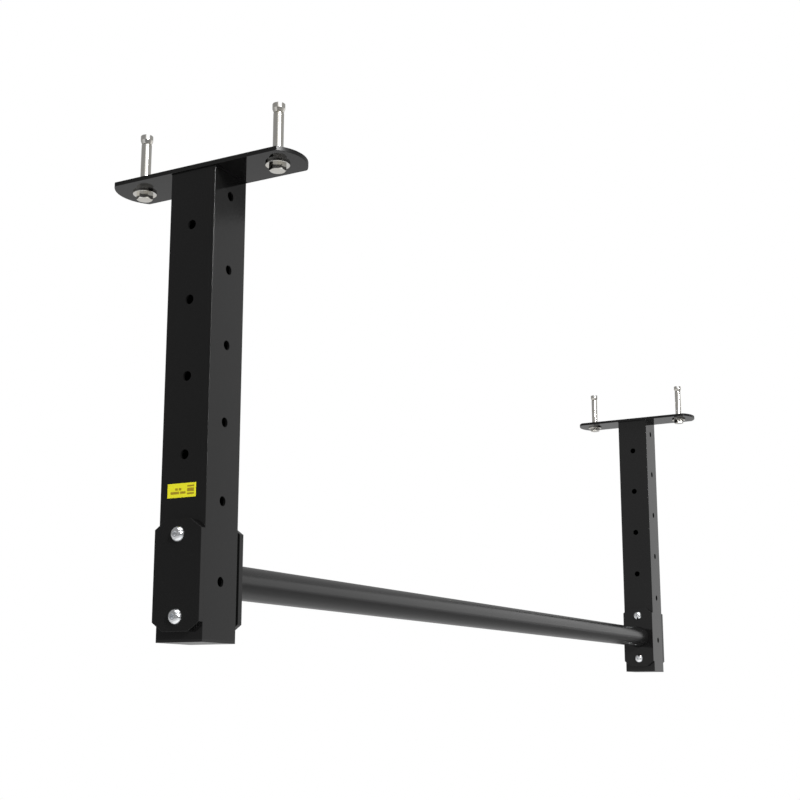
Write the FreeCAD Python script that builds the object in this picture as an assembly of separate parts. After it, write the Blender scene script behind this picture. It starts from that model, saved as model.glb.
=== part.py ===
"""Ceiling-mounted pull-up bar, in millimetres.

Two square uprights hang from anchored ceiling plates and carry one round bar. The bar's end plates
and a clamp plate on the far side of each upright are held by two through bolts, so the bar can be
re-bolted higher up the row of holes.

Frame: the origin is the centre of the four anchors, on the ceiling face of the two plates.
+X runs along the bar from the left upright to the right one, -Y is the front, +Z is up.
"""

import FreeCAD, Part
import math
import os

Vector = FreeCAD.Vector

# Uprights
UPRIGHT_SPACING = 1290.0  # centre to centre, along X
TUBE_SIDE = 50.0
TUBE_WALL = 2.5
TUBE_CORNER = 0.4
TUBE_BORE_CORNER = 0.3
UPRIGHT_DROP = 440.0  # ceiling face to the underside of the end cap
HOLE_RADIUS = 4.5
HOLE_PITCH = 72.0
HOLES_PER_ROW = 6
BAR_HOLE_TOP = -58.0  # first hole of the row that runs along X
SIDE_HOLE_TOP = -26.7  # first hole of the row that runs along Y

# Ceiling plates
PLATE_WIDTH = 54.0
PLATE_LENGTH = 207.0
PLATE_THICKNESS = 4.0
PLATE_END_RADIUS = 38.0
PLATE_CORNER = 2.0
ANCHOR_SPACING = 154.0
ANCHOR_HOLE_RADIUS = 5.5
PLATE_WELD_LEG = 0.8

# Bar and the plates that clamp it to the uprights
BAR_RADIUS = 16.0
BAR_WALL = 2.5
BAR_WELD_LEG = 1.6
CLAMP_THICKNESS = 6.0
CLAMP_HEIGHT = 98.0
CLAMP_CUT_WIDTH = 11.5  # legs of the cut across each corner
CLAMP_CUT_HEIGHT = 8.3
CLAMP_WIDTH = 50.6
END_PLATE_GAPS = {"left": 2.8, "right": 0.0}  # between an upright and the bar's end plate
FIRST_CLAMPED_HOLE = 4  # the bar hangs from this hole of the row and the next, counted from 0
WELD_TOE = 0.2  # thickness left at a weld's thin edge
EDGE_ROUND = 0.3

# End caps
CAP_FLANGE = 2.5
CAP_SPIGOT = 14.0
CAP_SPIGOT_SIDE = 43.0
CAP_SPIGOT_WALL = 2.0
CAP_SPIGOT_CORNER = 1.0
CAP_RIB_SIDE = 44.8
CAP_RIB = 1.2
CAP_RIB_PITCH = 4.0
CAP_RIBS = 3

# M8 clamp bolts, washers and lock nuts
THREAD_RADIUS = 4.0
THREAD_PITCH = 1.25
THREAD_DEPTH = 0.6
RUNNING_CLEARANCE = 0.05
BUTTON_RADIUS = 7.0
BUTTON_HEIGHT = 4.4
BUTTON_RIM = 0.6
BUTTON_TOP_RADIUS = 3.1
BUTTON_DOME_ARC = (20.0, 70.0)  # degrees of the arc that the dome follows from rim to top
BUTTON_DOME_STEPS = 6
SOCKET_FLATS = 4.0
SOCKET_DEPTH = 3.2
CLAMP_BOLT_LENGTH = 80.0
CLAMP_THREAD_LENGTH = 20.0
WASHER_BORE_RADIUS = 4.2
WASHER_EASE = 0.2
CLAMP_WASHER_RADIUS = 8.0
CLAMP_WASHER_THICKNESS = 1.6
NUT_FLATS = 13.0
NUT_HEX_HEIGHT = 6.2
NUT_HEIGHT = 8.0
NUT_COLLAR_RADIUS = 6.0
NYLON_RING_RADIUS = 5.1
NYLON_RING_HEIGHT = 2.0
CORNER_CHAMFER = 30.0  # degrees, on the corners of nuts and hexagon heads

# M8 sleeve anchors
ANCHOR_WASHER_RADIUS = 11.5
ANCHOR_WASHER_THICKNESS = 2.0
ANCHOR_HEAD_FLATS = 14.0
ANCHOR_HEAD_HEIGHT = 5.4
ANCHOR_THREAD_LENGTH = 24.0
ANCHOR_TIP = 50.5  # height of the bolt's tip
SLEEVE_RADIUS = 5.0
SLEEVE_BORE_RADIUS = 4.2
SLEEVE_TOP = 44.8
SLEEVE_SEAM = 0.8
SLEEVE_SLOT_LENGTH = 20.0
CONE_BOTTOM = 45.8
CONE_SMALL_RADIUS = 4.7
CONE_SHOULDER = 49.6
CONE_TOP = 54.5
CONE_RADIUS = 6.0
CONE_LIP = 0.4
CROWN_SLOT = 3.8
CROWN_SLOT_FOOT = 50.4
CROWN_TURNS = {  # degrees from X to the slot
    "left": {"front": 48.0, "rear": 52.0},
    "right": {"front": 24.0, "rear": 32.0},
}

# Label
LABEL_WIDTH = 31.0
LABEL_HEIGHT = 12.8
LABEL_THICKNESS = 0.25
LABEL_Y = 1.7
LABEL_TOP = -300.0

HALF_TUBE = TUBE_SIDE / 2
TUBE_TOP = -PLATE_THICKNESS
CAP_BOTTOM = -UPRIGHT_DROP
TUBE_BOTTOM = CAP_BOTTOM + CAP_FLANGE
SIDES = {"left": -UPRIGHT_SPACING / 2, "right": UPRIGHT_SPACING / 2}
ENDS = {"front": -ANCHOR_SPACING / 2, "rear": ANCHOR_SPACING / 2}
BAR_HOLES = [BAR_HOLE_TOP - HOLE_PITCH * i for i in range(HOLES_PER_ROW)]
SIDE_HOLES = [SIDE_HOLE_TOP - HOLE_PITCH * i for i in range(HOLES_PER_ROW)]
CLAMP_ROWS = {
    "upper": BAR_HOLES[FIRST_CLAMPED_HOLE],
    "lower": BAR_HOLES[FIRST_CLAMPED_HOLE + 1],
}
BAR_HEIGHT = sum(CLAMP_ROWS.values()) / 2
X_AXIS = Vector(1, 0, 0)
Y_AXIS = Vector(0, 1, 0)
Z_AXIS = Vector(0, 0, 1)


def rod(radius, length, base, axis):
    """A round bar that starts at base and runs along axis."""
    return Part.makeCylinder(radius, length, base, axis)


def block(x_range, y_range, z_range):
    """A plain box between the given limits."""
    low = Vector(x_range[0], y_range[0], z_range[0])
    size = Vector(x_range[1], y_range[1], z_range[1]) - low
    return Part.makeBox(size.x, size.y, size.z, low)


def rounded_square(side, corner, x, z):
    """A closed square outline with round corners, level at height z and centred on x."""
    half = side / 2
    inner = half - corner
    diagonal = inner + corner * math.sqrt(0.5)
    edges = []
    for turn in range(4):
        spin = FreeCAD.Rotation(Z_AXIS, 90.0 * turn)
        points = [
            Vector(half, -inner, 0),
            Vector(half, inner, 0),
            Vector(diagonal, diagonal, 0),
            Vector(inner, half, 0),
        ]
        start, end, bulge, finish = [spin.multVec(p) + Vector(x, 0, z) for p in points]
        edges.append(Part.makeLine(start, end))
        edges.append(Part.Arc(end, bulge, finish).toShape())
    return Part.Wire(edges)


def square_column(side, corner, x, z_low, z_high):
    """A solid upright column of rounded square section."""
    outline = rounded_square(side, corner, x, z_low)
    return Part.Face(outline).extrude(Vector(0, 0, z_high - z_low))


def turned(profile, base, axis):
    """A solid of revolution from (radius, height) points, standing on base and rising along axis."""
    points = [Vector(radius, 0, height) for radius, height in profile]
    outline = Part.makePolygon(points + points[:1])
    solid = Part.Face(outline).revolve(Vector(0, 0, 0), Z_AXIS, 360)
    return placed(solid, base, axis)


def placed(shape, base, axis):
    """A shape made upright at the origin, moved to base with its +Z turned to axis."""
    spin = FreeCAD.Rotation(Z_AXIS, axis)
    shape.Placement = FreeCAD.Placement(base, spin).multiply(shape.Placement)
    return shape


def hexagon(across_flats, height):
    """An upright hexagonal prism on the origin."""
    radius = across_flats / math.sqrt(3)
    angles = [math.radians(60 * i) for i in range(7)]
    corners = [Vector(radius * math.cos(a), radius * math.sin(a), 0) for a in angles]
    return Part.Face(Part.makePolygon(corners)).extrude(Vector(0, 0, height))


def chamfered_hexagon(across_flats, height, both_ends):
    """A hexagon with its corners turned off, at the top end or at both."""
    flat = across_flats / 2
    corner = across_flats / math.sqrt(3)
    drop = (corner - flat) * math.tan(math.radians(CORNER_CHAMFER))
    foot = [(0, 0), (flat, 0), (corner, drop)] if both_ends else [(0, 0), (corner, 0)]
    profile = foot + [(corner, height - drop), (flat, height), (0, height)]
    return hexagon(across_flats, height).common(turned(profile, Vector(0, 0, 0), Z_AXIS))


def threaded_shank(tip, thread_length):
    """Profile points up a shank to its tip, with a ring groove at each turn of the thread."""
    root = THREAD_RADIUS - THREAD_DEPTH
    turns = int(thread_length / THREAD_PITCH)
    start = tip - turns * THREAD_PITCH
    points = []
    for turn in range(turns):
        crest = start + turn * THREAD_PITCH
        points.append((THREAD_RADIUS, crest))
        points.append((root, crest + THREAD_PITCH / 2))
    points.append((root, tip))
    points.append((0, tip))
    return points


def upright(x):
    """A square tube with a row of holes through it along X and another along Y."""
    bore_side = TUBE_SIDE - 2 * TUBE_WALL
    tube = square_column(TUBE_SIDE, TUBE_CORNER, x, TUBE_BOTTOM, TUBE_TOP)
    tube = tube.cut(square_column(bore_side, TUBE_BORE_CORNER, x, TUBE_BOTTOM - 1, TUBE_TOP + 1))
    for z in BAR_HOLES:
        tube = tube.cut(rod(HOLE_RADIUS, TUBE_SIDE + 2, Vector(x - HALF_TUBE - 1, 0, z), X_AXIS))
    for z in SIDE_HOLES:
        tube = tube.cut(rod(HOLE_RADIUS, TUBE_SIDE + 2, Vector(x, -HALF_TUBE - 1, z), Y_AXIS))
    return tube


def ceiling_plate(x):
    """A flat strip with arched ends and two anchor holes."""
    half_width = PLATE_WIDTH / 2
    tip = PLATE_LENGTH / 2
    shoulder = tip - PLATE_END_RADIUS + math.sqrt(PLATE_END_RADIUS**2 - half_width**2)
    corners = [
        Vector(x - half_width, -shoulder, -PLATE_THICKNESS),
        Vector(x + half_width, -shoulder, -PLATE_THICKNESS),
        Vector(x + half_width, shoulder, -PLATE_THICKNESS),
        Vector(x - half_width, shoulder, -PLATE_THICKNESS),
    ]
    front_tip = Vector(x, -tip, -PLATE_THICKNESS)
    rear_tip = Vector(x, tip, -PLATE_THICKNESS)
    outline = Part.Wire(
        [
            Part.Arc(corners[0], front_tip, corners[1]).toShape(),
            Part.makeLine(corners[1], corners[2]),
            Part.Arc(corners[2], rear_tip, corners[3]).toShape(),
            Part.makeLine(corners[3], corners[0]),
        ]
    )
    plate = Part.Face(outline).extrude(Vector(0, 0, PLATE_THICKNESS))
    plate = plate.makeFillet(PLATE_CORNER, edges_along(plate, Z_AXIS))
    plate = plate.makeFillet(EDGE_ROUND, rim_edges(plate, 2, -PLATE_THICKNESS))
    for y in ENDS.values():
        base = Vector(x, y, -PLATE_THICKNESS - 1)
        plate = plate.cut(rod(ANCHOR_HOLE_RADIUS, PLATE_THICKNESS + 2, base, Z_AXIS))
    return plate


def edges_along(shape, axis):
    """The straight edges of a shape that run along an axis."""
    straight = [e for e in shape.Edges if isinstance(e.Curve, Part.Line)]
    return [e for e in straight if abs(abs(e.Curve.Direction.dot(axis)) - 1) < 1e-6]


def rim_edges(shape, axis_index, level):
    """The edges of a shape that lie wholly at one level along X (0), Y (1) or Z (2)."""
    found = []
    for edge in shape.Edges:
        if all(abs(v.Point[axis_index] - level) < 1e-6 for v in edge.Vertexes):
            found.append(edge)
    return found


def plate_weld(x):
    """The fillet weld that joins an upright to its ceiling plate."""
    wide_side = TUBE_SIDE + 2 * PLATE_WELD_LEG
    toe_side = TUBE_SIDE + 2 * WELD_TOE
    top = rounded_square(wide_side, TUBE_CORNER + PLATE_WELD_LEG, x, TUBE_TOP)
    toe = rounded_square(toe_side, TUBE_CORNER + WELD_TOE, x, TUBE_TOP - PLATE_WELD_LEG)
    bead = Part.makeLoft([toe, top], True, True)
    foot = TUBE_TOP - PLATE_WELD_LEG - 1
    return bead.cut(square_column(TUBE_SIDE, TUBE_CORNER, x, foot, TUBE_TOP + 1))


def end_cap(x):
    """A push-in plug: a flange over the tube's end and a hollow spigot with gripping ribs."""
    cap = square_column(TUBE_SIDE, TUBE_CORNER, x, CAP_BOTTOM, TUBE_BOTTOM)
    cap = cap.makeFillet(EDGE_ROUND, rim_edges(cap, 2, CAP_BOTTOM))
    spigot_top = TUBE_BOTTOM + CAP_SPIGOT
    corner = CAP_SPIGOT_CORNER
    cap = cap.fuse(square_column(CAP_SPIGOT_SIDE, corner, x, TUBE_BOTTOM, spigot_top))
    for rib in range(CAP_RIBS):
        low = TUBE_BOTTOM + CAP_RIB_PITCH * (rib + 0.5)
        cap = cap.fuse(square_column(CAP_RIB_SIDE, corner, x, low, low + CAP_RIB))
    hollow_side = CAP_SPIGOT_SIDE - 2 * CAP_SPIGOT_WALL
    cap = cap.cut(square_column(hollow_side, corner, x, TUBE_BOTTOM, spigot_top + 1))
    return cap.removeSplitter()


def clamp_plate(x_inner, direction):
    """A plate with cut corners and two bolt holes; it lies on x_inner and is thick along direction."""
    half = CLAMP_WIDTH / 2
    half_height = CLAMP_HEIGHT / 2
    cut = half - CLAMP_CUT_WIDTH
    cut_level = half_height - CLAMP_CUT_HEIGHT
    outline = [
        (half, cut_level),
        (cut, half_height),
        (-cut, half_height),
        (-half, cut_level),
        (-half, -cut_level),
        (-cut, -half_height),
        (cut, -half_height),
        (half, -cut_level),
    ]
    points = [Vector(x_inner, y, BAR_HEIGHT + z) for y, z in outline]
    outer_face = x_inner + direction * CLAMP_THICKNESS
    face = Part.Face(Part.makePolygon(points + points[:1]))
    plate = face.extrude(Vector(direction * CLAMP_THICKNESS, 0, 0))
    rims = rim_edges(plate, 0, x_inner) + rim_edges(plate, 0, outer_face)
    plate = plate.makeFillet(EDGE_ROUND, rims)
    for z in CLAMP_ROWS.values():
        base = Vector(x_inner - direction, 0, z)
        hole = rod(HOLE_RADIUS, CLAMP_THICKNESS + 2, base, Vector(direction, 0, 0))
        plate = plate.cut(hole)
    return plate


def direction_out(side):
    """-1 for the left upright and +1 for the right: the way from the bar's middle to that end."""
    return -1 if side == "left" else 1


def end_plate_back(side):
    """X of the face of a bar end plate that is turned to its upright."""
    return SIDES[side] - direction_out(side) * (HALF_TUBE + END_PLATE_GAPS[side])


def end_plate_face(side):
    """X of the face of a bar end plate that the bar is welded to."""
    return end_plate_back(side) - direction_out(side) * CLAMP_THICKNESS


def clamp_plate_face(side):
    """X of the outer face of a clamp plate."""
    return SIDES[side] + direction_out(side) * (HALF_TUBE + CLAMP_THICKNESS)


def bar_tube():
    """The round bar between the two end plates."""
    left, right = end_plate_face("left"), end_plate_face("right")
    base = Vector(left, 0, BAR_HEIGHT)
    bore = rod(BAR_RADIUS - BAR_WALL, right - left, base, X_AXIS)
    return rod(BAR_RADIUS, right - left, base, X_AXIS).cut(bore)


def bar_weld(side):
    """The ring of fillet weld between the bar and an end plate."""
    base = Vector(end_plate_face(side), 0, BAR_HEIGHT)
    inward = Vector(-direction_out(side), 0, 0)
    ring = [
        (BAR_RADIUS, 0),
        (BAR_RADIUS + BAR_WELD_LEG, 0),
        (BAR_RADIUS + WELD_TOE, BAR_WELD_LEG),
        (BAR_RADIUS, BAR_WELD_LEG),
    ]
    return turned(ring, base, inward)


def clamp_head_face(side):
    """X of the face under the clamp bolts' heads; both pairs of bolts point along +X."""
    return clamp_plate_face(side) if side == "left" else end_plate_face(side)


def clamp_nut_face(side):
    """X of the plate face that the clamp washers lie on."""
    return end_plate_face(side) if side == "left" else clamp_plate_face(side)


def clamp_bolt(side, z):
    """A button-head screw with a hexagon socket."""
    low, high = (math.radians(angle) for angle in BUTTON_DOME_ARC)
    dome = []
    for step in range(BUTTON_DOME_STEPS + 1):
        angle = low + (high - low) * step / BUTTON_DOME_STEPS
        out = (math.cos(angle) - math.cos(high)) / (math.cos(low) - math.cos(high))
        up = (math.sin(angle) - math.sin(low)) / (math.sin(high) - math.sin(low))
        radius = BUTTON_TOP_RADIUS + (BUTTON_RADIUS - BUTTON_TOP_RADIUS) * out
        dome.append((radius, -BUTTON_RIM - (BUTTON_HEIGHT - BUTTON_RIM) * up))
    head = [(0, -BUTTON_HEIGHT)] + dome[::-1] + [(BUTTON_RADIUS, 0), (THREAD_RADIUS, 0)]
    profile = head + threaded_shank(CLAMP_BOLT_LENGTH, CLAMP_THREAD_LENGTH)
    base = Vector(clamp_head_face(side), 0, z)
    screw = turned(profile, base, X_AXIS)
    socket = placed(hexagon(SOCKET_FLATS, SOCKET_DEPTH), Vector(0, 0, -BUTTON_HEIGHT), Z_AXIS)
    return screw.cut(placed(socket, base, X_AXIS))


def clamp_washer(side, z):
    """A plain washer under a lock nut."""
    base = Vector(clamp_nut_face(side), 0, z)
    return washer(CLAMP_WASHER_RADIUS, CLAMP_WASHER_THICKNESS, base, X_AXIS)


def washer(radius, thickness, base, axis):
    """A flat ring with eased outer edges."""
    profile = [
        (WASHER_BORE_RADIUS, 0),
        (radius - WASHER_EASE, 0),
        (radius, WASHER_EASE),
        (radius, thickness - WASHER_EASE),
        (radius - WASHER_EASE, thickness),
        (WASHER_BORE_RADIUS, thickness),
    ]
    return turned(profile, base, axis)


def nut_base(side, z):
    """The point on a bolt's axis where its nut begins."""
    return Vector(clamp_nut_face(side) + CLAMP_WASHER_THICKNESS, 0, z)


def clamp_nut(side, z):
    """A lock nut: a hexagon with a round collar that holds the nylon ring."""
    bore = THREAD_RADIUS + RUNNING_CLEARANCE
    hexagonal = chamfered_hexagon(NUT_FLATS, NUT_HEX_HEIGHT, True)
    collar = rod(NUT_COLLAR_RADIUS, NUT_HEIGHT, Vector(0, 0, 0), Z_AXIS)
    collar = collar.makeFillet(EDGE_ROUND, rim_edges(collar, 2, NUT_HEIGHT))
    nut = hexagonal.fuse(collar)
    nut = nut.cut(rod(bore, NUT_HEIGHT, Vector(0, 0, 0), Z_AXIS))
    seat = Vector(0, 0, NUT_HEIGHT - NYLON_RING_HEIGHT)
    nut = nut.cut(rod(NYLON_RING_RADIUS, NYLON_RING_HEIGHT, seat, Z_AXIS))
    return placed(nut.removeSplitter(), nut_base(side, z), X_AXIS)


def nylon_ring(side, z):
    """The nylon ring pressed into a lock nut's collar."""
    bore = THREAD_RADIUS + RUNNING_CLEARANCE
    base = nut_base(side, z) + Vector(NUT_HEIGHT - NYLON_RING_HEIGHT, 0, 0)
    ring = rod(NYLON_RING_RADIUS, NYLON_RING_HEIGHT, base, X_AXIS)
    return ring.cut(rod(bore, NYLON_RING_HEIGHT, base, X_AXIS))


def anchor_washer(x, y):
    """The wide washer between an anchor's head and the ceiling plate."""
    base = Vector(x, y, -PLATE_THICKNESS - ANCHOR_WASHER_THICKNESS)
    return washer(ANCHOR_WASHER_RADIUS, ANCHOR_WASHER_THICKNESS, base, Z_AXIS)


def anchor_sleeve(x, y):
    """A rolled expansion sleeve: its seam faces the rear, and its top is slotted across."""
    base = Vector(x, y, -PLATE_THICKNESS)
    length = SLEEVE_TOP + PLATE_THICKNESS
    sleeve = rod(SLEEVE_RADIUS, length, base, Z_AXIS)
    sleeve = sleeve.cut(rod(SLEEVE_BORE_RADIUS, length, base, Z_AXIS))
    half = SLEEVE_SEAM / 2
    seam = block((x - half, x + half), (y, y + SLEEVE_RADIUS + 1), (base.z, SLEEVE_TOP))
    slot_foot = SLEEVE_TOP - SLEEVE_SLOT_LENGTH
    slot = block((x, x + SLEEVE_RADIUS + 1), (y - half, y + half), (slot_foot, SLEEVE_TOP))
    return sleeve.cut(seam).cut(slot)


def anchor_bolt(x, y):
    """A hexagon-head bolt that stands up through an anchor's washer and sleeve."""
    under_head = -PLATE_THICKNESS - ANCHOR_WASHER_THICKNESS
    base = Vector(x, y, under_head)
    head = placed(chamfered_hexagon(ANCHOR_HEAD_FLATS, ANCHOR_HEAD_HEIGHT, False), base, -Z_AXIS)
    profile = [(0, 0), (THREAD_RADIUS, 0)]
    profile += threaded_shank(ANCHOR_TIP - under_head, ANCHOR_THREAD_LENGTH)
    return head.fuse(turned(profile, base, Z_AXIS)).removeSplitter()


def anchor_cone(x, y, crown_turn):
    """The threaded cone that spreads an anchor's sleeve, with a crown split by a round-bottomed slot."""
    bore = THREAD_RADIUS + RUNNING_CLEARANCE
    profile = [
        (bore, 0),
        (CONE_SMALL_RADIUS, 0),
        (CONE_RADIUS, CONE_SHOULDER - CONE_BOTTOM),
        (CONE_RADIUS, CONE_TOP - CONE_BOTTOM - CONE_LIP),
        (CONE_RADIUS - CONE_LIP, CONE_TOP - CONE_BOTTOM),
        (bore, CONE_TOP - CONE_BOTTOM),
    ]
    cone = turned(profile, Vector(x, y, CONE_BOTTOM), Z_AXIS)
    reach = CONE_RADIUS + 1
    half = CROWN_SLOT / 2
    slot = block((-reach, reach), (-half, half), (CROWN_SLOT_FOOT + half, CONE_TOP + 1))
    slot = slot.fuse(rod(half, 2 * reach, Vector(-reach, 0, CROWN_SLOT_FOOT + half), X_AXIS))
    slot.rotate(Vector(0, 0, 0), Z_AXIS, crown_turn)
    slot.translate(Vector(x, y, 0))
    return cone.cut(slot)


def rating_label():
    """The sticker on the left upright, above the bar's bolts."""
    outer_face = SIDES["left"] - HALF_TUBE
    half = LABEL_WIDTH / 2
    return block(
        (outer_face - LABEL_THICKNESS, outer_face),
        (LABEL_Y - half, LABEL_Y + half),
        (LABEL_TOP - LABEL_HEIGHT, LABEL_TOP),
    )


def side_parts(side):
    """The fixed parts at one end of the bar."""
    x = SIDES[side]
    out = direction_out(side)
    return {
        f"{side}_upright": upright(x),
        f"{side}_ceiling_plate": ceiling_plate(x),
        f"{side}_plate_weld": plate_weld(x),
        f"{side}_end_cap": end_cap(x),
        f"{side}_bar_end_plate": clamp_plate(end_plate_back(side), -out),
        f"{side}_bar_weld": bar_weld(side),
        f"{side}_clamp_plate": clamp_plate(x + out * HALF_TUBE, out),
    }


def clamp_fasteners():
    """The four clamp bolts with their nuts and nylon rings."""
    made = {}
    for side in SIDES:
        for row, z in CLAMP_ROWS.items():
            made[f"{side}_{row}_clamp_bolt"] = clamp_bolt(side, z)
            made[f"{side}_{row}_clamp_nut"] = clamp_nut(side, z)
            made[f"{side}_{row}_nylon_ring"] = nylon_ring(side, z)
    return made


def anchors():
    """The moving parts of the four ceiling anchors."""
    made = {}
    for side, x in SIDES.items():
        for end, y in ENDS.items():
            made[f"{side}_{end}_anchor_bolt"] = anchor_bolt(x, y)
            made[f"{side}_{end}_anchor_cone"] = anchor_cone(x, y, CROWN_TURNS[side][end])
    return made


def fixed_hardware():
    """Identical fixed fasteners, each kind as one group of separate solids."""
    places = [(x, y) for x in SIDES.values() for y in ENDS.values()]
    clamps = [(side, z) for side in SIDES for z in CLAMP_ROWS.values()]
    return {
        "anchor_washers": Part.makeCompound([anchor_washer(*place) for place in places]),
        "anchor_sleeves": Part.makeCompound([anchor_sleeve(*place) for place in places]),
        "clamp_washers": Part.makeCompound([clamp_washer(*clamp) for clamp in clamps]),
    }


def main():
    os.makedirs("parts", exist_ok=True)
    nodes = {"bar_tube": bar_tube(), "rating_label": rating_label()}
    for side in SIDES:
        nodes.update(side_parts(side))
    nodes.update(fixed_hardware())
    nodes.update(clamp_fasteners())
    nodes.update(anchors())
    for name, shape in nodes.items():
        shape.exportStep(f"parts/{name}.step")


main()
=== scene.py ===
"""Looks for the ceiling-mounted pull-up bar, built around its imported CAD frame.

Lengths are in metres in the row frame: +X along the bar, -Y the front, +Z up, and the origin in the
middle of the ceiling plates' top faces. Angles among the constants are in degrees.
"""

import math

import bpy
from mathutils import Matrix, Vector


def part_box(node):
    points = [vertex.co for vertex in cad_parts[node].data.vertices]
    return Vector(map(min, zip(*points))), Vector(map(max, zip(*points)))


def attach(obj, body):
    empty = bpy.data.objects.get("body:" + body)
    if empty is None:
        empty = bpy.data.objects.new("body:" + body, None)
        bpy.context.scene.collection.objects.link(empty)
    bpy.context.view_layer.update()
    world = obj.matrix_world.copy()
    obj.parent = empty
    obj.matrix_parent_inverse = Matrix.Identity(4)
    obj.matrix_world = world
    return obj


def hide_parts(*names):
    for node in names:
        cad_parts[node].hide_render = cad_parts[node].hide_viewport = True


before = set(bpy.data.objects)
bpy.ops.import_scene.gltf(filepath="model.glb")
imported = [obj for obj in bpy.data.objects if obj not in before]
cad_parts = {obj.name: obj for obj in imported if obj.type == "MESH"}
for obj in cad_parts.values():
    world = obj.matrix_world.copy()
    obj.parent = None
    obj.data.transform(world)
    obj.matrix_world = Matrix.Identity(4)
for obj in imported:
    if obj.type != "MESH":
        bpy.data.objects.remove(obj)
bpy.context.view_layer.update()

SIDES = ("left", "right")

# Camera
CAMERA_AT = (-1.6139, -0.7154, -0.4888)
CAMERA_HEADING = 28.476  # from +X towards +Y
CAMERA_RISE = 11.354  # above level
CAMERA_ROLL = 0.131
CAMERA_LENS = 60.0
CAMERA_SHIFT = (0.0190, 0.0406)
CAMERA_CLIP = (0.05, 100.0)

# Weld beads
RIPPLE_PITCH = 0.0014
RIPPLE_STEPS = 6  # rows of points in a ripple
RIPPLE_DEPTH = 0.16  # share of the bead's size
RIPPLE_LEAN = 0.45  # how far a ripple lags at the bead's toes, in ripples
RIPPLE_FADE = 0.5  # share of a ripple's depth that is lost at the toes
BEAD_STEPS = 8  # faces across a bead
BEAD_BULGE = 0.12  # how far the middle stands out, as a share of the bead's size
BEAD_TOE = 0.08  # how far the toes draw in, as a share of the bead's size
BAR_BEAD = 0.0016  # size of the bead round the bar
PLATE_BEAD = 0.0008  # size of the bead round the top of an upright
TUBE_CORNER = 0.0004

# Label
LABEL_CORNER = 0.0004
LABEL_CORNER_STEPS = 6
INK_HEIGHT = 0.00003
INK_CORNER = 0.0003
INK_CORNER_STEPS = 3
# Printed blocks as (left, bottom, width, height) in millimetres from the label's lower front corner
LABEL_BLOCKS = (
    (21.6, 9.2, 7.4, 1.5),
    (21.6, 5.0, 7.4, 3.2),
    (21.6, 2.4, 7.4, 1.6),
    (8.4, 6.4, 3.0, 2.2),
    (12.4, 6.4, 2.8, 2.2),
    (3.4, 3.2, 9.6, 2.2),
    (14.0, 3.2, 6.0, 2.2),
)

# Bands of a noise's values
NOISE_BAND = (0.3, 0.7)  # holds nearly all of them
PATCH_BAND = (0.35, 0.65)  # narrower, which gives patches with firmer edges
SMEAR_BAND = (0.45, 0.75)
SPECK_BAND = (0.70, 0.80)  # reached only by the peaks
FLECK_BAND = (0.66, 0.80)

# Coats: greys where thick and where thin, roughness where smooth and where dull
GLOSS_GREYS = (0.004, 0.006)
GLOSS_ROUGHNESS = (0.055, 0.085)
GLOSS_IOR = 1.36
SPECK_GREY = 0.03
SMEAR_ROUGHNESS = 0.03  # added in the smears
CUT_EDGE_BAND = (0.35, 0.75)  # the normal's Z, from a cut edge to a flat face
# painted shade: the darker grey laid on the cut edges of a flat plate
CUT_EDGE_SHADE_GREY = 0.0035
CUT_EDGE_ROUGHNESS = 0.30  # added on the cut edges
BAR_GREYS = (0.008, 0.012)
BAR_ROUGHNESS = (0.18, 0.24)
BAR_CLOUD_ROUGHNESS = 0.04  # added in the clouds
BAR_STRETCH = (0.02, 1, 1)
BAR_IOR = 1.50
WELD_GREYS = (0.003, 0.005)
WELD_ROUGHNESS = (0.40, 0.52)
WELD_IOR = 1.12

# Plastics
CAP_GREYS = (0.005, 0.008)
CAP_ROUGHNESS = (0.16, 0.24)
CAP_IOR = 1.42
NYLON_TINTS = ((0.62, 0.66, 0.72, 1), (0.74, 0.76, 0.80, 1))
NYLON_ROUGHNESS = (0.35, 0.45)
NYLON_IOR = 1.53
YELLOW_PRINT = ((0.64, 0.60, 0.013, 1), (0.59, 0.56, 0.010, 1))
BROWN_PRINT = ((0.30, 0.21, 0.005, 1), (0.24, 0.17, 0.004, 1))
FILM_ROUGHNESS = (0.36, 0.44)
FILM_IOR = 1.45

# Plated metals: the two colours that the passivation drifts between
BRIGHT_TINTS = ((0.86, 0.87, 0.88, 1), (0.80, 0.82, 0.85, 1))
BRIGHT_ROUGHNESS = (0.08, 0.14)
YELLOW_TINTS = ((0.84, 0.83, 0.80, 1), (0.80, 0.77, 0.70, 1))
YELLOW_ROUGHNESS = (0.12, 0.17)
FLECK_GREY = 0.45
FLECK_SHARE = 0.12  # of the fleck's grey in a fleck

# Floor
FLOOR_HEIGHT = -2.4
FLOOR_RADIUS = 16.0
FLOOR_SIDES = 120
FLOOR_GREY = 0.35
FLOOR_ROUGHNESS = 0.9
FLOOR_GRADE = (-1.0, 3.0)  # Y between which the glow grows, as reflections see it
FLOOR_GLOW = (0.06, 0.40)  # the glow at those two
FLOOR_POOL = (1.6, 3.2)  # radii between which the bright middle fades, as reflections see it
FLOOR_MIDDLE = 0.6  # glow of the bright middle
FLOOR_FADE = (3.0, 15.0)  # radii between which the camera sees the middle's glow grow to white

# Room, as reflections see it; the limits are parts of a direction of length 1
ROOM_TURN = (-0.3, 0.3)  # X between which the left of the room gives way to the right
ROOM_LEFT = 0.28
ROOM_RIGHT = 0.34
ROOM_HORIZON = (-0.06, 0.06)  # Z between which the low part gives way to the room
ROOM_LOW = 0.45

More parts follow.
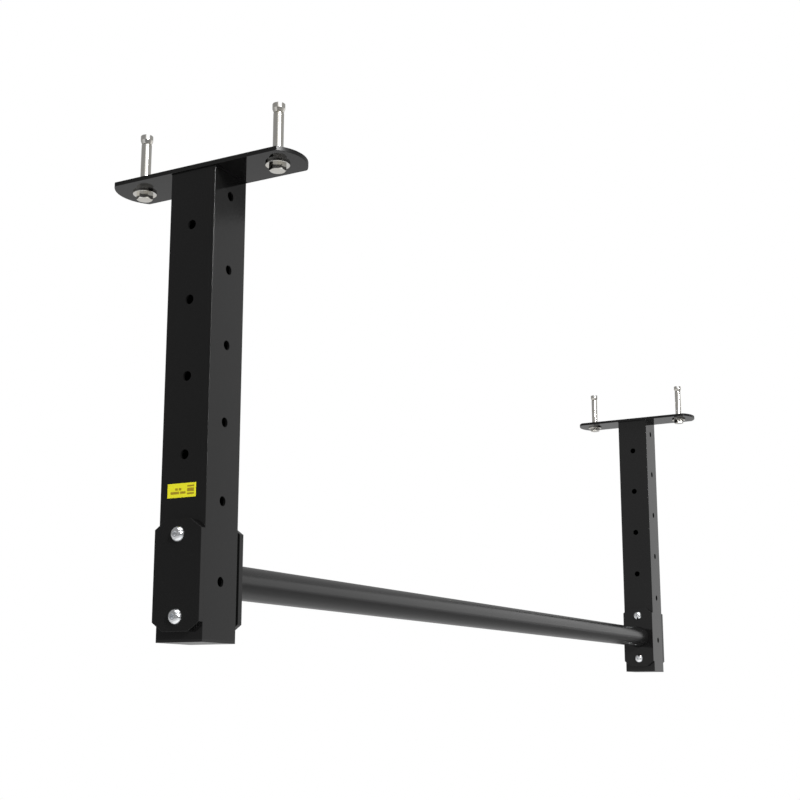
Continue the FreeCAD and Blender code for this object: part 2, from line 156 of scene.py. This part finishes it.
# Softboxes as (name, azimuths from +X, rises above level, radiance)
SOFTBOX_CENTRE = (0, 0, -0.2)
SOFTBOX_DISTANCE = 6.0
SOFTBOXES = (
    ("front_softbox", (-50, 4), (-2, 24), 0.46),
    ("key_strip", (-127, -121), (17, 30), 140.0),
    ("low_strip", (-127, -121), (8, 17), 50.0),
    ("key_softbox", (-162, -102), (16, 34), 0.8),
    ("top_softbox", (-160, -100), (50, 84), 2.2),
    ("left_fill", (153, 185), (-6, 15), 0.36),
)


# ---------------------------------------------------------------- node helpers


class Graph:
    """The node tree of a material or a world, with short ways to add and join nodes."""

    def __init__(self, owner, shader="Principled BSDF"):
        owner.use_nodes = True
        self.owner = owner
        self.tree = owner.node_tree
        self.shader = self.tree.nodes[shader]

    def add(self, kind, **values):
        node = self.tree.nodes.new(kind)
        for key, value in values.items():
            setattr(node, key, value)
        return node

    def feed(self, socket, value):
        """Joins an output to a socket, or sets the socket's own value."""
        if isinstance(value, bpy.types.NodeSocket):
            self.tree.links.new(value, socket)
        else:
            socket.default_value = value

    def set(self, **values):
        """Feeds the shader's sockets; an underscore stands for a space."""
        for key, value in values.items():
            self.feed(self.shader.inputs[key.replace("_", " ")], value)

    def coordinate(self, kind):
        return self.add("ShaderNodeTexCoord").outputs[kind]

    def split(self, vector):
        """The X, Y and Z outputs of a vector."""
        node = self.add("ShaderNodeSeparateXYZ")
        self.feed(node.inputs[0], vector)
        return node.outputs

    def length(self, vector):
        node = self.add("ShaderNodeVectorMath", operation="LENGTH")
        self.feed(node.inputs[0], vector)
        return node.outputs["Value"]

    def noise(self, scale, detail=2.0, roughness=0.5, stretch=(1, 1, 1)):
        """Noise in the object's own metres, with its place scaled by stretch along each axis."""
        mapping = self.add("ShaderNodeMapping")
        self.feed(mapping.inputs["Vector"], self.coordinate("Object"))
        self.feed(mapping.inputs["Scale"], stretch)
        node = self.add("ShaderNodeTexNoise")
        self.feed(node.inputs["Vector"], mapping.outputs["Vector"])
        self.feed(node.inputs["Scale"], scale)
        self.feed(node.inputs["Detail"], detail)
        self.feed(node.inputs["Roughness"], roughness)
        return node.outputs["Fac"]

    def ramp(self, value, limits, results=(0.0, 1.0)):
        """A number that goes from one result to the other as value goes between its limits."""
        node = self.add("ShaderNodeMapRange")
        self.feed(node.inputs["Value"], value)
        for key, limit in zip(("From Min", "From Max", "To Min", "To Max"), (*limits, *results)):
            self.feed(node.inputs[key], limit)
        return node.outputs["Result"]

    def math(self, operation, first, second=0.0):
        node = self.add("ShaderNodeMath", operation=operation)
        self.feed(node.inputs[0], first)
        self.feed(node.inputs[1], second)
        return node.outputs["Value"]

    def mix(self, share, first, second):
        """A colour between two others."""
        node = self.add("ShaderNodeMix", data_type="RGBA")
        self.feed(node.inputs["Factor"], share)
        self.feed(node.inputs["A"], first)
        self.feed(node.inputs["B"], second)
        return node.outputs["Result"]

    def bump(self, height, strength, distance, under=None):
        """A normal bumped by height, on top of another bump if there is one."""
        node = self.add("ShaderNodeBump")
        self.feed(node.inputs["Height"], height)
        self.feed(node.inputs["Strength"], strength)
        self.feed(node.inputs["Distance"], distance)
        if under is not None:
            self.feed(node.inputs["Normal"], under)
        return node.outputs["Normal"]


def grey(value):
    return (value, value, value, 1.0)


# ------------------------------------------------------------------- materials


def material_graph(name):
    return Graph(bpy.data.materials.new(name))


def gloss_paint(name, dull_shaded_edges=False):
    """Glossy black powder coat; on a part cut from flat plate the upright edges can be duller and
    darkened with painted shade.
    """
    g = material_graph(name)
    cloud = g.noise(scale=9.0, detail=3.0)
    speck = g.noise(scale=1400.0, roughness=0.6)
    smear = g.noise(scale=160.0, detail=3.0)
    base = g.mix(cloud, *map(grey, GLOSS_GREYS))
    base = g.mix(g.ramp(speck, SPECK_BAND), base, grey(SPECK_GREY))
    rough = g.ramp(cloud, NOISE_BAND, GLOSS_ROUGHNESS)
    rough = g.math("ADD", rough, g.ramp(smear, SMEAR_BAND, (0.0, SMEAR_ROUGHNESS)))
    if dull_shaded_edges:
        level = g.math("ABSOLUTE", g.split(g.coordinate("Normal"))["Z"])
        edge = g.ramp(level, CUT_EDGE_BAND, (1.0, 0.0))
        # painted shade: the cut edges are darkened; the roughness added below makes them duller
        base = g.mix(edge, base, grey(CUT_EDGE_SHADE_GREY))
        rough = g.math("ADD", rough, g.math("MULTIPLY", edge, CUT_EDGE_ROUGHNESS))
    peel = g.bump(g.noise(scale=420.0, detail=1.0), strength=0.05, distance=0.0003)
    g.set(Base_Color=base, Roughness=rough, Normal=peel, IOR=GLOSS_IOR)
    return g.owner


def bar_paint(name):
    """Semi-gloss black coat on the round bar, drawn out a little along its length."""
    g = material_graph(name)
    streak = g.noise(scale=260.0, detail=3.0, roughness=0.6, stretch=BAR_STRETCH)
    cloud = g.noise(scale=14.0, detail=3.0)
    base = g.mix(cloud, *map(grey, BAR_GREYS))
    rough = g.ramp(streak, NOISE_BAND, BAR_ROUGHNESS)
    rough = g.math("ADD", rough, g.ramp(cloud, NOISE_BAND, (0.0, BAR_CLOUD_ROUGHNESS)))
    fine = g.bump(streak, strength=0.04, distance=0.0002)
    peel = g.bump(g.noise(scale=700.0, detail=1.0), strength=0.06, distance=0.0003, under=fine)
    g.set(Base_Color=base, Roughness=rough, Normal=peel, IOR=BAR_IOR)
    return g.owner


def weld_paint(name):
    """Powder coat over a weld, where it sinters duller."""
    g = material_graph(name)
    cloud = g.noise(scale=600.0, detail=3.0, roughness=0.6)
    base = g.mix(cloud, *map(grey, WELD_GREYS))
    g.set(Base_Color=base, Roughness=g.ramp(cloud, NOISE_BAND, WELD_ROUGHNESS), IOR=WELD_IOR)
    return g.owner


def cap_plastic(name):
    """Moulded black plastic with a fine spark-eroded grain."""
    g = material_graph(name)
    grain = g.noise(scale=2600.0, roughness=0.6)
    base = g.mix(g.noise(scale=40.0), *map(grey, CAP_GREYS))
    rough = g.ramp(grain, NOISE_BAND, CAP_ROUGHNESS)
    texture = g.bump(grain, strength=0.10, distance=0.0001)
    g.set(Base_Color=base, Roughness=rough, Normal=texture, IOR=CAP_IOR)
    return g.owner


def nylon(name):
    """Natural nylon, slightly cloudy."""
    g = material_graph(name)
    cloud = g.noise(scale=500.0)
    base = g.mix(cloud, *NYLON_TINTS)
    g.set(Base_Color=base, Roughness=g.ramp(cloud, NOISE_BAND, NYLON_ROUGHNESS), IOR=NYLON_IOR)
    return g.owner


def printed_film(name, tints):
    """Printed vinyl film: tints are the limits of the ink's unevenness."""
    g = material_graph(name)
    mottle = g.noise(scale=900.0, detail=3.0, roughness=0.6)
    base = g.mix(g.ramp(mottle, PATCH_BAND), *tints)
    rough = g.ramp(mottle, NOISE_BAND, FILM_ROUGHNESS)
    wrinkle = g.bump(g.noise(scale=120.0), strength=0.08, distance=0.0002)
    g.set(Base_Color=base, Roughness=rough, Normal=wrinkle, IOR=FILM_IOR)
    return g.owner


def plated(name, tints, roughness):
    """Zinc-plated steel, slightly cloudy and flecked."""
    g = material_graph(name)
    drift = g.noise(scale=130.0, detail=3.0, roughness=0.6)
    fleck = g.noise(scale=900.0, detail=4.0, roughness=0.7)
    base = g.mix(g.ramp(drift, PATCH_BAND), *tints)
    base = g.mix(g.ramp(fleck, FLECK_BAND, (0.0, FLECK_SHARE)), base, grey(FLECK_GREY))
    rough = g.ramp(drift, NOISE_BAND, roughness)
    texture = g.bump(g.noise(scale=2400.0), strength=0.02, distance=0.00002)
    g.set(Base_Color=base, Roughness=rough, Normal=texture, Metallic=1.0)
    return g.owner


TUBE_PAINT = gloss_paint("tube_powder_coat")
# powder coat with painted shade on the cut edges
FLAT_PLATE_PAINT_EDGE_SHADE = gloss_paint("plate_powder_coat_edge_shade", dull_shaded_edges=True)
BAR_PAINT = bar_paint("bar_powder_coat")
WELD_PAINT = weld_paint("weld_powder_coat")
CAP_PLASTIC = cap_plastic("cap_plastic")
NYLON = nylon("nylon")
FILM = printed_film("label_film", YELLOW_PRINT)
INK = printed_film("label_ink", BROWN_PRINT)
BRIGHT = plated("bright_zinc_plate", BRIGHT_TINTS, BRIGHT_ROUGHNESS)
YELLOW = plated("yellow_zinc_plate", YELLOW_TINTS, YELLOW_ROUGHNESS)

# Materials by the end of a CAD node's name
NODE_MATERIALS = {
    "upright": TUBE_PAINT,
    "ceiling_plate": FLAT_PLATE_PAINT_EDGE_SHADE,
    "bar_end_plate": TUBE_PAINT,
    "clamp_plate": TUBE_PAINT,
    "bar_tube": BAR_PAINT,
    "end_cap": CAP_PLASTIC,
    "anchor_washers": YELLOW,
    "anchor_sleeves": YELLOW,
    "clamp_washers": BRIGHT,
    "clamp_bolt": BRIGHT,
    "clamp_nut": BRIGHT,
    "nylon_ring": NYLON,
    "anchor_bolt": YELLOW,
    "anchor_cone": YELLOW,
}


def paint_nodes():
    """Gives each CAD node that stays in view its material."""
    for name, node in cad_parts.items():
        for ending, material in NODE_MATERIALS.items():
            if name.endswith(ending):
                for material_slot in node.material_slots:
                    material_slot.material = material


# ---------------------------------------------------------------------- pieces


def new_piece(name, points, faces, material, body, smooth=True):
    """A mesh that rides on a body and takes the material it is given."""
    mesh = bpy.data.meshes.new(name)
    mesh.from_pydata(points, [], faces)
    mesh.validate()
    mesh.materials.append(material)
    mesh.polygons.foreach_set("use_smooth", [smooth] * len(mesh.polygons))
    piece = bpy.data.objects.new(name, mesh)
    bpy.context.scene.collection.objects.link(piece)
    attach(piece, body)
    return piece


def bead_size(distance, section):
    """A bead's relative size at a distance along it; section runs from -1 to 1 between its toes."""
    phase = distance / RIPPLE_PITCH - RIPPLE_LEAN * section**2
    swell = phase - math.floor(phase)
    dip = (1 - math.sin(math.pi * swell)) * (1 - RIPPLE_FADE * section**2)
    shape = 1 + BEAD_BULGE * (1 - section**2) - BEAD_TOE * abs(section) ** 3
    return (1 - RIPPLE_DEPTH * dip) * shape


def bead(path, size):
    """Points and faces of a fillet bead along a closed path.

    path holds (corner point, direction along one leg, direction along the other, distance) rows.
    """
    points = []
    for corner, leg_a, leg_b, distance in path:
        points.append(corner)
        for step in range(BEAD_STEPS + 1):
            share = step / BEAD_STEPS
            reach = size * bead_size(distance, 2 * share - 1)
            points.append(corner + leg_a * (reach * (1 - share)) + leg_b * (reach * share))
    ring = BEAD_STEPS + 2
    faces = []
    for row in range(len(path)):
        here = row * ring
        there = (row + 1) % len(path) * ring
        for step in range(ring):
            beside = (step + 1) % ring
            faces.append((here + step, here + beside, there + beside, there + step))
    return points, faces


def path_rows(length):
    """(share of a closed path, distance in whole ripples) of each row of a bead along it."""
    ripples = round(length / RIPPLE_PITCH)
    rows = ripples * RIPPLE_STEPS
    return [(row / rows, RIPPLE_PITCH * ripples * row / rows) for row in range(rows)]


def ring_path(centre, radius, inward):
    """Path of a bead round the bar where it meets a plate; inward points along the bar."""
    path = []
    for share, distance in path_rows(2 * math.pi * radius):
        angle = 2 * math.pi * share
        out = Vector((0, math.cos(angle), math.sin(angle)))
        path.append((centre + out * radius, out, inward, distance))
    return path


def square_path(centre, side, corner):
    """Path of a bead round a square tube under a plate."""
    down = Vector((0, 0, -1))
    straight = side - 2 * corner
    quarter = straight + math.pi / 2 * corner
    path = []
    for share, distance in path_rows(4 * quarter):
        turn, rest = divmod(4 * quarter * share, quarter)
        if rest < straight:
            out = Vector((1, 0, 0))
            point = Vector((side / 2, rest - straight / 2, 0))
        else:
            angle = (rest - straight) / corner
            out = Vector((math.cos(angle), math.sin(angle), 0))
            point = Vector((side / 2 - corner, straight / 2, 0)) + out * corner
        spin = Matrix.Rotation(math.radians(90 * turn), 3, "Z")
        path.append((centre + spin @ point, spin @ out, down, distance))
    return path


def add_weld(node, path, size):
    """A rippled weld bead in place of a plain CAD one."""
    points, faces = bead(path, size)
    piece = new_piece(f"{node}_bead", points, faces, WELD_PAINT, "frame")
    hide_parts(node)


def add_welds():
    """The beads at the bar's ends and at the tops of the uprights."""
    bar_low, bar_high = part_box("bar_tube")
    radius = (bar_high.z - bar_low.z) / 2
    middle = (bar_low + bar_high) / 2
    bar_ends = {"left": (bar_low.x, 1), "right": (bar_high.x, -1)}
    for side in SIDES:
        end_x, inward = bar_ends[side]
        path = ring_path(Vector((end_x, middle.y, middle.z)), radius, Vector((inward, 0, 0)))
        add_weld(f"{side}_bar_weld", path, BAR_BEAD)

        low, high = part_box(f"{side}_upright")
        top = Vector(((low.x + high.x) / 2, (low.y + high.y) / 2, high.z))
        path = square_path(top, high.x - low.x, TUBE_CORNER)
        add_weld(f"{side}_plate_weld", path, PLATE_BEAD)


def rounded_tile(low, high, corner, corner_steps, back, front):
    """Points and faces of a thin tile facing -X, between two (y, z) corners, with round corners."""
    centres = (
        (high[0] - corner, high[1] - corner, 0),
        (low[0] + corner, high[1] - corner, 90),
        (low[0] + corner, low[1] + corner, 180),
        (high[0] - corner, low[1] + corner, 270),
    )
    outline = []
    for y, z, start in centres:
        for step in range(corner_steps + 1):
            angle = math.radians(start + 90 * step / corner_steps)
            outline.append((y + corner * math.cos(angle), z + corner * math.sin(angle)))
    count = len(outline)
    points = [(back, y, z) for y, z in outline] + [(front, y, z) for y, z in outline]
    faces = [tuple(range(count)), tuple(range(2 * count - 1, count - 1, -1))]
    for index in range(count):
        after = (index + 1) % count
        faces.append((index, count + index, count + after, after))
    return points, faces


def add_label():
    """The sticker on the left upright: film with plain printed blocks."""
    low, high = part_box("rating_label")
    points, faces = rounded_tile(
        (low.y, low.z), (high.y, high.z), LABEL_CORNER, LABEL_CORNER_STEPS, high.x, low.x
    )
    film = new_piece("rating_label_film", points, faces, FILM, "frame", smooth=False)
    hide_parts("rating_label")

    points, faces = [], []
    for block in LABEL_BLOCKS:
        left, bottom, width, height = (millimetres / 1000 for millimetres in block)
        start = (high.y - left, low.z + bottom)
        tile_points, tile_faces = rounded_tile(
            (start[0] - width, start[1]),
            (start[0], start[1] + height),
            INK_CORNER,
            INK_CORNER_STEPS,
            low.x + INK_HEIGHT,
            low.x - INK_HEIGHT,
        )
        faces += [tuple(len(points) + index for index in face) for face in tile_faces]
        points += tile_points
    new_piece("rating_label_print", points, faces, INK, "frame", smooth=False)


# ----------------------------------------------------------------------- stage


def floor_glow(g):
    """Graded for reflections, with a bright middle; the camera sees the middle fade to white."""
    place = g.coordinate("Object")
    radius = g.length(place)
    graded = g.ramp(g.split(place)["Y"], FLOOR_GRADE, FLOOR_GLOW)
    pool = g.ramp(radius, FLOOR_POOL, (FLOOR_MIDDLE, 0.0))
    seen = g.add("ShaderNodeLightPath").outputs["Is Camera Ray"]
    pale = g.math("MULTIPLY", seen, g.ramp(radius, FLOOR_FADE, (FLOOR_MIDDLE, 1.0)))
    return g.math("MAXIMUM", g.math("MAXIMUM", graded, pool), pale)


def add_floor():
    """A plain pale disc under the object."""
    mesh = bpy.data.meshes.new("floor")
    rim = [math.radians(360 * step / FLOOR_SIDES) for step in range(FLOOR_SIDES)]
    points = [(FLOOR_RADIUS * math.cos(a), FLOOR_RADIUS * math.sin(a), 0) for a in rim]
    mesh.from_pydata(points, [], [tuple(range(FLOOR_SIDES))])
    g = material_graph("floor")
    g.set(Base_Color=grey(FLOOR_GREY), Roughness=FLOOR_ROUGHNESS)
    g.set(Emission_Color=grey(1.0), Emission_Strength=floor_glow(g))
    mesh.materials.append(g.owner)
    floor = bpy.data.objects.new("floor", mesh)
    floor.location.z = FLOOR_HEIGHT
    bpy.context.scene.collection.objects.link(floor)


def add_world():
    """White to the eye; reflections see a dim room with a pale lower half."""
    g = Graph(bpy.data.worlds.new("studio"), "Background")
    direction = g.split(g.coordinate("Generated"))
    upper = g.ramp(direction["X"], ROOM_TURN, (ROOM_LEFT, ROOM_RIGHT))
    room = g.ramp(direction["Z"], ROOM_HORIZON, (ROOM_LOW, upper))
    seen = g.add("ShaderNodeLightPath").outputs["Is Camera Ray"]
    g.set(Color=grey(1.0), Strength=g.ramp(seen, (0.0, 1.0), (room, 1.0)))
    bpy.context.scene.world = g.owner


def add_softbox(name, azimuths, rises, radiance):
    """A rectangular light seen from the object between two azimuths and two rises."""
    azimuth, rise = (math.radians(sum(limits) / 2) for limits in (azimuths, rises))
    away = Vector(
        (math.cos(azimuth) * math.cos(rise), math.sin(azimuth) * math.cos(rise), math.sin(rise))
    )
    spans = (math.radians(limits[1] - limits[0]) for limits in (azimuths, rises))
    width, height = (2 * SOFTBOX_DISTANCE * math.tan(span / 2) for span in spans)
    light = bpy.data.lights.new(name, "AREA")
    light.shape = "RECTANGLE"
    light.size, light.size_y = width, height
    light.energy = radiance * math.pi * width * height
    lamp = bpy.data.objects.new(name, light)
    lamp.location = Vector(SOFTBOX_CENTRE) + away * SOFTBOX_DISTANCE
    lamp.rotation_mode = "QUATERNION"
    lamp.rotation_quaternion = (-away).to_track_quat("-Z", "Y")
    lamp.visible_camera = False
    bpy.context.scene.collection.objects.link(lamp)


def add_camera():
    data = bpy.data.cameras.new("camera")
    data.lens = CAMERA_LENS
    data.shift_x, data.shift_y = CAMERA_SHIFT
    data.clip_start, data.clip_end = CAMERA_CLIP
    camera = bpy.data.objects.new("camera", data)
    heading = Matrix.Rotation(math.radians(CAMERA_HEADING - 90), 4, "Z")
    rise = Matrix.Rotation(math.radians(90 + CAMERA_RISE), 4, "X")
    roll = Matrix.Rotation(math.radians(CAMERA_ROLL), 4, "Z")
    camera.matrix_world = Matrix.Translation(CAMERA_AT) @ heading @ rise @ roll
    bpy.context.scene.collection.objects.link(camera)
    bpy.context.scene.camera = camera


paint_nodes()
add_welds()
add_label()
add_floor()
add_world()
for softbox in SOFTBOXES:
    add_softbox(*softbox)
add_camera()
bpy.context.scene.view_settings.view_transform = "Standard"
